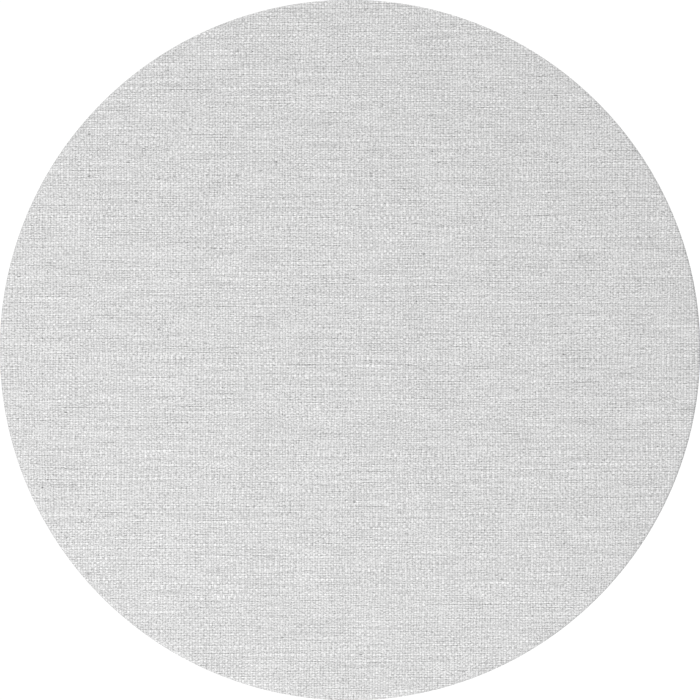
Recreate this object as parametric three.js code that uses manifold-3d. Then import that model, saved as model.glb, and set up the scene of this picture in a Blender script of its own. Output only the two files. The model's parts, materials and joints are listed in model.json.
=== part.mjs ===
// Round pop-up backdrop panel: a cloth face and a lining stretched over one sprung steel hoop.
// Millimetres. X runs across the panel, Z is up, and the face looks towards -Y.
// The origin is the point inside the hanging ring where a hook bears.
// The panel bends into a half fold about upright lines, so each large piece is cut at those
// lines into strips that move apart: one outer and one inner strip each side of a centre strip.
import * as THREE from "three";
import { mergeVertices } from "three/addons/utils/BufferGeometryUtils.js";
import Module from "manifold-3d";

const wasm = await Module();
wasm.setup();

// Panel and rim
const PANEL_RADIUS = 300;
const RIM_HALF = 3.5; // half the rim's thickness, front to back
const RIM_ROUND = 2.5; // outside rounding where the face cloth turns over the edge
const FACE_T = 0.9; // face cloth
const HEM_WIDTH = 19; // how far the face cloth is turned in behind
const LINING_T = 0.6;
const LINING_RADIUS = 293;
const LINING_BACK_Y = 2.3; // the lining's outside face
const ROUND_SEGMENTS = 96;

// Sprung hoop
const BAND_RADIUS = 296.4; // inside radius of the steel band
const BAND_T = 0.9; // radial thickness
const BAND_WIDTH = 3.2; // front to back
const BAND_JOIN = 0.8; // space left between the band's two ends
const FERRULE_LENGTH = 32;
const FERRULE_WALL = 0.45;
const FERRULE_PLAY = 0.25;
const CRIMP_DEPTH = 0.2;

// Upright fold lines
const INNER_FOLD_X = 60;
const OUTER_FOLD_X = 130;
const SLIT = 0.3; // width of the cut at a fold line

// Thread rows
const HEM_THREAD_RADIUS = 284;
const THREAD_W = 0.6;
const THREAD_T = 0.25;
const THREAD_LIFT = 0.1;

// Reinforcing patch behind the hanging tab and the keeper strap
const PATCH_T = 0.6;
const PATCH_BACK_Y = LINING_BACK_Y + 0.3 + PATCH_T;
const PATCH_WIDTH = 48;
const PATCH_BOTTOM = 180;
const PATCH_TOP = 276;
const PATCH_CORNER = 5;
const PATCH_THREAD_INSET = 3;

// Hanging ring, a D of round wire
const WIRE_R = 1.5;
const RING_HALF_WIDTH = 12; // to the wire's centre line
const RING_LEG = 3.5; // straight part above the bar
const RING_CORNER = 2.2;
const RING_LEAN = Math.asin(0.1); // the ring rests against the patch
const HANG_Z = 270; // where the hook bears, above the panel's centre
const BAR_Y = 6.5;
const HOOK_REACH = RING_LEG + RING_HALF_WIDTH - WIRE_R; // bar's centre to the inside of the arc
const BAR_Z = HANG_Z - HOOK_REACH * Math.cos(RING_LEAN);
const HANG_Y = BAR_Y - HOOK_REACH * Math.sin(RING_LEAN);

// Hanging tab, webbing folded over the ring's bar
const TAB_WIDTH = 20;
const TAB_LAYERS_T = 2.4;
const TAB_BOTTOM = 226;
const TAB_FRONT_Y = 3.5;
const TAB_LOOP_R = 3; // outside of the fold round the bar
const TAB_HOLE_R = 1.8;
const TAB_SPREAD_Z = 247; // where the two layers part to go round the bar

// Keeper, a flat loop of elastic that holds the coiled panel shut
const KEEPER_WIDTH = 16;
const KEEPER_FRONT_Y = 3.7;
const KEEPER_LAYERS_T = 2.2;
const KEEPER_TOP = 216;
const KEEPER_FOLD_Z = 196; // lower end of the sewn root, where the free loop starts
const KEEPER_FREE = 110;

// ---- Geometry helpers ----

// A closed three.js geometry as a manifold-3d solid, so that it can be joined and cut.
function solid(geometry) {
  const source = geometry.index ? geometry.toNonIndexed() : geometry;
  const bare = new THREE.BufferGeometry().setAttribute("position", source.getAttribute("position"));
  const merged = mergeVertices(bare, 1e-4);
  const kept = [];
  const index = merged.index.array;
  for (let i = 0; i < index.length; i += 3) {
    const [a, b, c] = [index[i], index[i + 1], index[i + 2]];
    if (a !== b && b !== c && a !== c) kept.push(a, b, c);
  }
  return new wasm.Manifold(
    new wasm.Mesh({
      numProp: 3,
      vertProperties: new Float32Array(merged.getAttribute("position").array),
      triVerts: new Uint32Array(kept),
    }),
  );
}

// Back from manifold-3d to a geometry that a mesh can hold.
function geometryOf(body) {
  const mesh = body.getMesh();
  const geometry = new THREE.BufferGeometry();
  geometry.setAttribute("position", new THREE.BufferAttribute(new Float32Array(mesh.vertProperties), 3));
  geometry.setIndex(new THREE.BufferAttribute(new Uint32Array(mesh.triVerts), 1));
  geometry.computeVertexNormals();
  return geometry;
}

function box(x0, x1, y0, y1, z0, z1) {
  const geometry = new THREE.BoxGeometry(x1 - x0, y1 - y0, z1 - z0);
  geometry.translate((x0 + x1) / 2, (y0 + y1) / 2, (z0 + z1) / 2);
  return solid(geometry);
}

// A body of revolution about the panel's own axis, which is Y. Points are [radius, y].
function turned(points) {
  const profile = points.map(([r, y]) => new THREE.Vector2(r, y));
  return solid(new THREE.LatheGeometry(profile, ROUND_SEGMENTS));
}

// A ring of rectangular section between two radii and two depths.
function turnedRing(r0, r1, y0, y1) {
  return turned([[r0, y0], [r1, y0], [r1, y1], [r0, y1], [r0, y0]]);
}

// An outline in X and Z, given thickness in Y.
function plate(shape, y0, y1) {
  const geometry = new THREE.ExtrudeGeometry(shape, { depth: y1 - y0, bevelEnabled: false });
  const axes = new THREE.Matrix4().makeBasis(
    new THREE.Vector3(1, 0, 0),
    new THREE.Vector3(0, 0, 1),
    new THREE.Vector3(0, -1, 0),
  );
  geometry.applyMatrix4(axes);
  geometry.translate(0, y1, 0);
  return solid(geometry);
}

// An outline in Y and Z, given width in X about the middle.
function strap(shape, width) {
  const geometry = new THREE.ExtrudeGeometry(shape, { depth: width, bevelEnabled: false });
  const axes = new THREE.Matrix4().makeBasis(
    new THREE.Vector3(0, 1, 0),
    new THREE.Vector3(0, 0, 1),
    new THREE.Vector3(1, 0, 0),
  );
  geometry.applyMatrix4(axes);
  geometry.translate(-width / 2, 0, 0);
  return solid(geometry);
}

// A rectangle in X and Z with rounded corners.
function roundedRectangle(x0, x1, z0, z1, r) {
  const shape = new THREE.Shape();
  const corners = [
    [x1 - r, z0 + r, -Math.PI / 2],
    [x1 - r, z1 - r, 0],
    [x0 + r, z1 - r, Math.PI / 2],
    [x0 + r, z0 + r, Math.PI],
  ];
  const steps = 5;
  const outline = [];
  for (const [cx, cz, start] of corners) {
    for (let i = 0; i <= steps; i++) {
      const a = start + (i / steps) * (Math.PI / 2);
      outline.push(new THREE.Vector2(cx + r * Math.cos(a), cz + r * Math.sin(a)));
    }
  }
  return shape.setFromPoints(outline);
}

// Points of an arc in a [radius, y] profile, both ends included.
function arc(cr, cy, r, from, to, steps) {
  const points = [];
  for (let i = 0; i <= steps; i++) {
    const a = THREE.MathUtils.degToRad(from + ((to - from) * i) / steps);
    points.push([cr + r * Math.cos(a), cy + r * Math.sin(a)]);
  }
  return points;
}

// ---- Strips between the fold lines ----

const STRIPS = [
  { name: "left_outer", x0: -PANEL_RADIUS - 5, x1: -OUTER_FOLD_X - SLIT / 2 },
  { name: "left_inner", x0: -OUTER_FOLD_X + SLIT / 2, x1: -INNER_FOLD_X - SLIT / 2 },
  { name: "centre", x0: -INNER_FOLD_X + SLIT / 2, x1: INNER_FOLD_X - SLIT / 2 },
  { name: "right_inner", x0: INNER_FOLD_X + SLIT / 2, x1: OUTER_FOLD_X - SLIT / 2 },
  { name: "right_outer", x0: OUTER_FOLD_X + SLIT / 2, x1: PANEL_RADIUS + 5 },
];
const FAR = PANEL_RADIUS + 5;

function cutStrip(body, strip, z0 = -FAR, z1 = FAR) {
  return body.intersect(box(strip.x0, strip.x1, -20, 20, z0, z1));
}

const panel = new THREE.Group();
panel.name = "backdrop_panel";

function add(name, body, colour, roughness, metalness = 0) {
  const material = new THREE.MeshStandardMaterial({ color: colour, roughness, metalness });
  const mesh = new THREE.Mesh(geometryOf(body), material);
  mesh.name = name;
  panel.add(mesh);
}

// ---- Cloth ----

// Face, rounded edge and turned-in hem are one cloth.
function faceCloth() {
  const edge = PANEL_RADIUS - RIM_ROUND;
  const shoulder = RIM_HALF - RIM_ROUND;
  const inner = RIM_ROUND - FACE_T;
  const hem = PANEL_RADIUS - HEM_WIDTH;
  return turned([
    [0, -RIM_HALF],
    ...arc(edge, -shoulder, RIM_ROUND, -90, 0, 3),
    ...arc(edge, shoulder, RIM_ROUND, 0, 90, 3),
    [hem, RIM_HALF],
    [hem, RIM_HALF - FACE_T],
    ...arc(edge, shoulder, inner, 90, 0, 2),
    ...arc(edge, -shoulder, inner, 0, -90, 2),
    [0, -RIM_HALF + FACE_T],
  ]);
}

function lining() {
  const front = LINING_BACK_Y - LINING_T;
  return turned([[0, front], [LINING_RADIUS, front], [LINING_RADIUS, LINING_BACK_Y], [0, LINING_BACK_Y]]);
}

function addCloth() {
  const face = faceCloth();
  const back = lining();
  for (const strip of STRIPS) {
    add("face_cloth_" + strip.name, cutStrip(face, strip), 0xd6d6d6, 0.92);
    add("lining_" + strip.name, cutStrip(back, strip), 0x717170, 0.85);
  }
}

// ---- Sprung hoop ----

function addBand() {
  const band = turnedRing(BAND_RADIUS, BAND_RADIUS + BAND_T, -BAND_WIDTH / 2, BAND_WIDTH / 2);
  const steel = [0x6f757c, 0.35, 0.9];
  for (const strip of STRIPS) {
    if (strip.name.endsWith("outer")) {
      add("band_" + strip.name, cutStrip(band, strip), ...steel);
      continue;
    }
    add("band_top_" + strip.name, cutStrip(band, strip, 0, FAR), ...steel);
    if (strip.name !== "centre") add("band_bottom_" + strip.name, cutStrip(band, strip, -FAR, 0), ...steel);
  }
  // The band's two ends meet in the ferrule at the bottom.
  const fold = INNER_FOLD_X - SLIT / 2;
  const gap = BAND_JOIN / 2;
  add("band_end_left", cutStrip(band, { x0: -fold, x1: -gap }, -FAR, 0), ...steel);
  add("band_end_right", cutStrip(band, { x0: gap, x1: fold }, -FAR, 0), ...steel);
}

function ferrule() {
  const play = FERRULE_PLAY;
  const wall = FERRULE_WALL + play;
  const half = BAND_WIDTH / 2;
  const r0 = BAND_RADIUS;
  const r1 = BAND_RADIUS + BAND_T;
  let tube = turnedRing(r0 - wall, r1 + wall, -half - wall, half + wall);
  tube = tube.subtract(turnedRing(r0 - play, r1 + play, -half - play, half + play));
  tube = tube.intersect(box(-FERRULE_LENGTH / 2, FERRULE_LENGTH / 2, -20, 20, -FAR, 0));
  // Crimp marks pressed into the front and back walls
  for (const x of [-9, -5, 5, 9]) {
    for (const side of [-1, 1]) {
      const y = side * (half + wall);
      const [low, high] = [y - CRIMP_DEPTH, y + CRIMP_DEPTH];
      tube = tube.subtract(box(x - 0.8, x + 0.8, low, high, -FAR, 0));
    }
  }
  return tube;
}

// ---- Thread ----

function addHemThread() {
  const y0 = RIM_HALF + THREAD_LIFT;
  const row = turnedRing(HEM_THREAD_RADIUS, HEM_THREAD_RADIUS + THREAD_W, y0, y0 + THREAD_T);
  for (const strip of STRIPS) {
    if (strip.name.endsWith("outer")) {
      add("hem_thread_" + strip.name, cutStrip(row, strip), 0xc8c8c6, 0.8);
      continue;
    }
    add("hem_thread_top_" + strip.name, cutStrip(row, strip, 0, FAR), 0xc8c8c6, 0.8);
    add("hem_thread_bottom_" + strip.name, cutStrip(row, strip, -FAR, 0), 0xc8c8c6, 0.8);
  }
}

// A thread row round a rectangle, with a cross inside if wanted.
function threadBox(x0, x1, z0, z1, y0, corner, crossed) {
  const w = THREAD_W;
  const outline = roundedRectangle(x0, x1, z0, z1, corner);
  const inside = roundedRectangle(x0 + w, x1 - w, z0 + w, z1 - w, Math.max(corner - w, 0.2));
  let row = plate(outline, y0, y0 + THREAD_T).subtract(plate(inside, y0 - 1, y0 + 1));
  if (!crossed) return row;
  const long = Math.hypot(x1 - x0 - w, z1 - z0 - w);
  const turn = Math.atan2(z1 - z0 - w, x1 - x0 - w);
  for (const sign of [-1, 1]) {
    const bar = new THREE.BoxGeometry(long, THREAD_T, w);
    bar.rotateY(sign * turn);
    bar.translate((x0 + x1) / 2, y0 + THREAD_T / 2, (z0 + z1) / 2);
    row = row.add(solid(bar));
  }
  return row;
}

// ---- Hanging tab, patch and ring ----

function patch() {
  const half = PATCH_WIDTH / 2;
  const outline = roundedRectangle(-half, half, PATCH_BOTTOM, PATCH_TOP, PATCH_CORNER);
  return plate(outline, PATCH_BACK_Y - PATCH_T, PATCH_BACK_Y);
}

function patchThread() {
  const half = PATCH_WIDTH / 2 - PATCH_THREAD_INSET;
  const low = PATCH_BOTTOM + PATCH_THREAD_INSET;
  const high = PATCH_TOP - PATCH_THREAD_INSET;
  return threadBox(-half, half, low, high, PATCH_BACK_Y + THREAD_LIFT, 3, false);
}

// Two layers of webbing sewn flat below, parting to go round the ring's bar.
function hangTab() {
  const back = TAB_FRONT_Y + TAB_LAYERS_T;
  const dy = back - BAR_Y;
  const dz = TAB_SPREAD_Z - BAR_Z;
  const start = Math.atan2(dz, dy) + Math.acos(TAB_LOOP_R / Math.hypot(dy, dz));
  const points = [new THREE.Vector2(TAB_FRONT_Y, TAB_BOTTOM), new THREE.Vector2(back, TAB_BOTTOM)];
  points.push(new THREE.Vector2(back, TAB_SPREAD_Z));
  const steps = 14;
  for (let i = 0; i <= steps; i++) {
    const a = start + ((Math.PI - start) * i) / steps;
    points.push(new THREE.Vector2(BAR_Y + TAB_LOOP_R * Math.cos(a), BAR_Z + TAB_LOOP_R * Math.sin(a)));
  }
  const hole = new THREE.CylinderGeometry(TAB_HOLE_R, TAB_HOLE_R, TAB_WIDTH + 4, 24);
  hole.rotateZ(Math.PI / 2);
  hole.translate(0, BAR_Y, BAR_Z);
  return strap(new THREE.Shape(points), TAB_WIDTH).subtract(solid(hole));
}

function tabThread() {
  const y0 = TAB_FRONT_Y + TAB_LAYERS_T + THREAD_LIFT;
  return threadBox(-7.5, 7.5, TAB_BOTTOM + 2.5, TAB_SPREAD_Z - 2, y0, 0.8, true);
}

// The ring's centre line: bar, two corners, two legs and the arc, in its own plane, bar at height 0.
function ringPath() {
  const path = [];
  const bend = (cx, cz, r, from, to, steps) => {
    for (let i = 0; i <= steps; i++) {
      const a = THREE.MathUtils.degToRad(from + ((to - from) * i) / steps);
      path.push([cx + r * Math.cos(a), cz + r * Math.sin(a), Math.cos(a), Math.sin(a)]);
    }
  };
  const inset = RING_HALF_WIDTH - RING_CORNER;
  bend(inset, RING_CORNER, RING_CORNER, -90, 0, 4);
  bend(0, RING_LEG, RING_HALF_WIDTH, 0, 180, 20);
  bend(-inset, RING_CORNER, RING_CORNER, 180, 270, 4);
  return path;
}

function hangingRing() {
  const path = ringPath();
  const sides = 10;
  const positions = [];
  for (const [x, z, nx, nz] of path) {
    for (let k = 0; k < sides; k++) {
      const a = (k / sides) * 2 * Math.PI;
      const out = WIRE_R * Math.cos(a);
      positions.push(x + nx * out, WIRE_R * Math.sin(a), z + nz * out);
    }
  }
  const index = [];
  const count = path.length;
  for (let i = 0; i < count; i++) {
    const next = (i + 1) % count;
    for (let k = 0; k < sides; k++) {
      const l = (k + 1) % sides;
      const [a, b, c, d] = [i * sides + k, i * sides + l, next * sides + l, next * sides + k];
      index.push(a, b, c, a, c, d);
    }
  }
  const geometry = new THREE.BufferGeometry();
  geometry.setAttribute("position", new THREE.BufferAttribute(new Float32Array(positions), 3));
  geometry.setIndex(index);
  geometry.rotateX(RING_LEAN);
  geometry.translate(0, BAR_Y, BAR_Z);
  return solid(geometry);
}

// ---- Keeper ----

function keeperRoot() {
  const back = KEEPER_FRONT_Y + KEEPER_LAYERS_T;
  const half = KEEPER_WIDTH / 2;
  return box(-half, half, KEEPER_FRONT_Y, back, KEEPER_FOLD_Z + SLIT / 2, KEEPER_TOP);
}

// The free loop hangs flat, its lower end rounded where the elastic turns back.
function keeperLoop() {
  const r = KEEPER_LAYERS_T / 2;
  const top = KEEPER_FOLD_Z - SLIT / 2;
  const low = KEEPER_FOLD_Z - KEEPER_FREE + r;
  const points = [new THREE.Vector2(KEEPER_FRONT_Y + 2 * r, top), new THREE.Vector2(KEEPER_FRONT_Y, top)];
  for (let i = 0; i <= 8; i++) {
    const a = Math.PI + (i / 8) * Math.PI;
    points.push(new THREE.Vector2(KEEPER_FRONT_Y + r + r * Math.cos(a), low + r * Math.sin(a)));
  }
  return strap(new THREE.Shape(points), KEEPER_WIDTH);
}

function keeperThread() {
  const y0 = KEEPER_FRONT_Y + KEEPER_LAYERS_T + THREAD_LIFT;
  return threadBox(-5.5, 5.5, KEEPER_FOLD_Z + 3, KEEPER_TOP - 2.5, y0, 0.8, true);
}

addCloth();
addBand();
add("ferrule", ferrule(), 0x9a9ea3, 0.4, 0.9);
addHemThread();
add("patch", patch(), 0x5f5f5e, 0.85);
add("patch_thread", patchThread(), 0xc8c8c6, 0.8);
add("hang_tab", hangTab(), 0x2a2a2b, 0.8);
add("tab_thread", tabThread(), 0x3a3a3b, 0.7);
add("hanging_ring", hangingRing(), 0xb9bcc0, 0.25, 1);
add("keeper_root", keeperRoot(), 0x242425, 0.85);
add("keeper_loop", keeperLoop(), 0x242425, 0.85);
add("keeper_thread", keeperThread(), 0x3a3a3b, 0.7);

// Everything above is measured from the panel's centre; the part is stored from its hanging point.
panel.position.set(0, -HANG_Y, -HANG_Z);

export default panel;
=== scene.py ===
import json
import math

import bmesh
import bpy
import numpy as np
from mathutils import Matrix, Vector

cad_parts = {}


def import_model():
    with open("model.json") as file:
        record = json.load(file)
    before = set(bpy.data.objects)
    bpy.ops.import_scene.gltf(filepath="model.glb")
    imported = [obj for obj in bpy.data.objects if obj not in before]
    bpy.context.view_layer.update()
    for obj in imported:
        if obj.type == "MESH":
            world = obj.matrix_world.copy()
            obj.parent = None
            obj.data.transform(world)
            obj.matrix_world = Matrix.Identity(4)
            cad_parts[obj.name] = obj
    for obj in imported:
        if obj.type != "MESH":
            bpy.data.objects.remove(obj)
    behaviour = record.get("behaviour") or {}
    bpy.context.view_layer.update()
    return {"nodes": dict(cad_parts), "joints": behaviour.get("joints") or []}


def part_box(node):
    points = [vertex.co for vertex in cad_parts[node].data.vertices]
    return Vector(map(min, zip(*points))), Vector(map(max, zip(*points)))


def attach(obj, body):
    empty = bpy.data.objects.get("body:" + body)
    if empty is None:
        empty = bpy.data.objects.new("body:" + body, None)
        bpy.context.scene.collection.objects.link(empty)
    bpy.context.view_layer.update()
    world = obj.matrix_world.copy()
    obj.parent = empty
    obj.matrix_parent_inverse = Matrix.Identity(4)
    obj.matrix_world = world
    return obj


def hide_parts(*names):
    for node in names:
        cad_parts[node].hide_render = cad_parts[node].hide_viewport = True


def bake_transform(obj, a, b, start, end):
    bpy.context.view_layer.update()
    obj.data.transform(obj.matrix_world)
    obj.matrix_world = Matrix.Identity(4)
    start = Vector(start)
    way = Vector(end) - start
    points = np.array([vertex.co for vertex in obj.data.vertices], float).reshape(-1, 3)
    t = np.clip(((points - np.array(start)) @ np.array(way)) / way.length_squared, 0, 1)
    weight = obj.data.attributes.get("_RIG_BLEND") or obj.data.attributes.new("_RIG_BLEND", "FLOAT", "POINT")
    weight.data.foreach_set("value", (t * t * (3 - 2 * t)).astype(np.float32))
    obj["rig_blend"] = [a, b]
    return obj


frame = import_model()
SEED = 20260

# ---------------------------------------------------------------- sizes, the panel's main ones read from the imported part and the small ones given here
MM = 0.001
_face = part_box("face_cloth_centre")
FRONT_Y, HEM_Y = _face[0].y, _face[1].y
CENTRE_Z = (_face[0].z + _face[1].z) / 2
R_OUT = (_face[1].z - _face[0].z) / 2
_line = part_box("lining_centre")
LINING_IN_Y, LINING_OUT_Y = _line[0].y, _line[1].y
R_LINING = (_line[1].z - _line[0].z) / 2
_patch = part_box("patch")
_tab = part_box("hang_tab")
_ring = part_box("hanging_ring")
_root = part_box("keeper_root")
_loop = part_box("keeper_loop")
JOINTS = {j["name"]: j for j in frame["joints"]}
INNER_X = JOINTS["right_inner_fold"]["pos_m"][0]
OUTER_X = JOINTS["right_outer_fold"]["pos_m"][0]
BAR = Vector(JOINTS["ring_swing"]["pos_m"])
KEEPER_PIVOT = Vector(JOINTS["keeper_flex"]["pos_m"])

MID_Y = (FRONT_Y + HEM_Y) / 2
RIM_R = 2.5 * MM  # outside rounding of the rim
FACE_T = 0.9 * MM  # face cloth
BAND_T = 0.9 * MM  # hoop's band, across the panel
HEM_IN = R_OUT - 19 * MM  # inside edge of the hem
THREAD_R = R_OUT - 15.7 * MM  # radius of the hem's stitch row
BEND = (OUTER_X - INNER_X) / 2  # half the width that bends at each fold line
CUT_X = (INNER_X + OUTER_X) / 2  # upright lines where zones meet, along with x = 0
PAST_RIM = 50 * MM  # takes the outer zones past the panel's edge, and past the edge of its cloth laid flat

# the panel in four upright zones, each bending across one fold line:
# name, low x, high x, the body at its low side, the body at its high side, the fold line's x
ZONES = [
    ("far_left", -R_OUT - PAST_RIM, -CUT_X, "left_outer", "left_inner", -OUTER_X),
    ("near_left", -CUT_X, 0.0, "left_inner", "spine", -INNER_X),
    ("near_right", 0.0, CUT_X, "spine", "right_inner", INNER_X),
    ("far_right", CUT_X, R_OUT + PAST_RIM, "right_inner", "right_outer", OUTER_X),
]
STANDS_FOR = {
    "far_left": ["left_outer"],
    "near_left": ["left_inner", "centre"],
    "near_right": ["right_inner", "centre"],
    "far_right": ["right_outer"],
}


def smooth(t):
    """0 up to t = 0, 1 from t = 1, and an even curve between."""
    t = np.clip(t, 0.0, 1.0)
    return t * t * (3 - 2 * t)


def bend(obj, zone):
    """Blends a piece across its zone's fold line."""
    _, _, _, a, b, x = zone
    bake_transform(obj, a, b, start=(x - BEND, 0, 0), end=(x + BEND, 0, 0))


# ---------------------------------------------------------------- shader helpers
class Shader:
    """Short calls for building one procedural material."""

    def __init__(self, name):
        self.material = bpy.data.materials.new(name)
        self.material.use_nodes = True
        self.tree = self.material.node_tree
        self.tree.nodes.clear()
        self.column = 0

    def add(self, kind, inputs=(), **settings):
        """A node, its inputs given by name or number, each as a value or as another node's output."""
        node = self.tree.nodes.new(kind)
        self.column += 1
        node.location = (self.column * 180, -(self.column % 5) * 160)
        for key, value in settings.items():
            setattr(node, key, value)
        for key, value in dict(inputs).items():
            if hasattr(value, "is_output"):
                self.tree.links.new(value, node.inputs[key])
            else:
                node.inputs[key].default_value = value
        return node

    def math(self, op, a, b=None, c=None, clamp=False):
        values = {i: v for i, v in enumerate((a, b, c)) if v is not None}
        return self.add("ShaderNodeMath", values, operation=op, use_clamp=clamp).outputs[0]

    def mul(self, a, b):
        return self.math("MULTIPLY", a, b)

    def plus(self, a, b):
        return self.math("ADD", a, b)

    def muladd(self, a, b, c):
        return self.math("MULTIPLY_ADD", a, b, c)

    def mix(self, factor, a, b):
        """a where factor is 0 and b where it is 1."""
        return self.muladd(self.math("SUBTRACT", b, a), factor, a)

    def vec(self, x, y, z=0.0):
        return self.add("ShaderNodeCombineXYZ", {0: x, 1: y, 2: z}).outputs[0]

    def split(self, vector):
        return self.add("ShaderNodeSeparateXYZ", {0: vector}).outputs

    def uv(self, name="cloth"):
        return self.add("ShaderNodeUVMap", uv_map=name).outputs[0]

    def rest(self):
        return self.add("ShaderNodeAttribute", attribute_name="rest").outputs["Vector"]

    def noise(self, vector, scale=1.0, detail=0.0, rough=0.5, dims="2D"):
        values = {"Vector": vector, "Scale": scale, "Detail": detail, "Roughness": rough}
        return self.add("ShaderNodeTexNoise", values, noise_dimensions=dims).outputs[0]

    def chance(self, dims, **value):
        """An even random number from 0 to 1 for each whole value."""
        return self.add("ShaderNodeTexWhiteNoise", value, noise_dimensions=dims).outputs[0]

    def ramp(self, value, low, high, out_low=0.0, out_high=1.0, smoothed=True):
        kind = "SMOOTHSTEP" if smoothed else "LINEAR"
        values = {0: value, 1: low, 2: high, 3: out_low, 4: out_high}
        return self.add("ShaderNodeMapRange", values, interpolation_type=kind).outputs[0]

    def bump(self, height, distance, over=None):
        values = {"Height": height, "Distance": distance}
        if over is not None:
            values["Normal"] = over
        return self.add("ShaderNodeBump", values).outputs[0]

    def colour(self, factor, low, high):
        values = {0: factor, 6: (*low, 1.0), 7: (*high, 1.0)}
        return self.add("ShaderNodeMix", values, data_type="RGBA", clamp_factor=True).outputs[2]

    def done(self, **inputs):
        """Ends the material with a surface. Input names are written with underscores for spaces."""
        named = {k.replace("_", " "): v for k, v in inputs.items()}
        surface = self.add("ShaderNodeBsdfPrincipled", named)
        self.add("ShaderNodeOutputMaterial", {0: surface.outputs[0]})
        return self.material


def plain_weave(s, uv, warp_pitch, weft_pitch, wander, uneven, doubled=0.0):
    """Parts of a plain weave: u runs along the weft, v along the warp, both in metres.

    wander is how far the upright yarns stray, in pitches, and how often across and along the cloth. uneven is
    the same for the cross yarns. doubled is the share of cross yarns that share an opening with the next.
    """
    u, v, _ = s.split(uv)
    drift = s.noise(s.vec(s.mul(u, wander[1]), s.mul(v, wander[2])))
    thick = s.noise(s.vec(s.mul(u, uneven[1]), s.mul(v, uneven[2])))
    a = s.muladd(u, 1 / warp_pitch, s.mul(drift, wander[0]))
    b = s.muladd(v, 1 / weft_pitch, s.mul(thick, uneven[0]))
    weave = {"u": u, "v": v, "a": a, "b": b, "i": s.math("FLOOR", a), "j": s.math("FLOOR", b)}
    weave["across"] = s.math("SINE", s.mul(s.math("FRACT", a), math.pi))
    weave["along"] = s.math("SINE", s.mul(s.math("FRACT", b), math.pi))
    count = s.plus(weave["i"], weave["j"])
    if doubled:
        chance = s.chance("1D", W=weave["j"])
        count = s.plus(count, s.math("LESS_THAN", chance, doubled))
    weave["warp_up"] = s.math("MODULO", count, 2.0)
    warp_height = s.mul(weave["across"], s.muladd(weave["along"], 0.45, 0.55))
    weft_height = s.mul(weave["along"], s.muladd(weave["across"], 0.45, 0.55))
    weave["height"] = s.mix(weave["warp_up"], weft_height, warp_height)
    return weave


FACE_WARP_PITCH = 2.335 * MM
FACE_WEFT_PITCH = 1.42 * MM

# Strengths of the face cloth's markings, as shares of its own brightness
FACE_BASE = 0.7385
WARP_TONE = 0.12  # each upright yarn's own tone
WEFT_TONE = 0.24  # each cross yarn's own tone, drifting along it
WARP_GAP = 0.27  # shade between upright yarns
WEFT_GAP = 0.41  # shade between cross yarns
CROSSING = 0.18  # each crossing's own tone
LIFT = 0.058  # how much paler the cross yarns are than the upright ones
PAIR = 0.02  # every other yarn is paler, each way
STREAK = 0.22  # fibres lying along the cross yarns
LONG_STREAK = 0.20  # the same, longer and fainter
SLUB = 0.14  # thick pale lengths of cross yarn
STRAND = 0.30  # single fibres along each yarn
FUZZ = 0.58  # loose fibre ends, with no direction
FIBRE_TONE = 0.57  # short lengths of fibre
CLOUD_TONE = 0.06  # soft uneven patches a few centimetres across
FLECK = 0.4  # the few dark bits of husk
GAP_MEAN = 0.12  # how much of each gap's shade is given back, so that the gaps don't darken the whole


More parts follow.
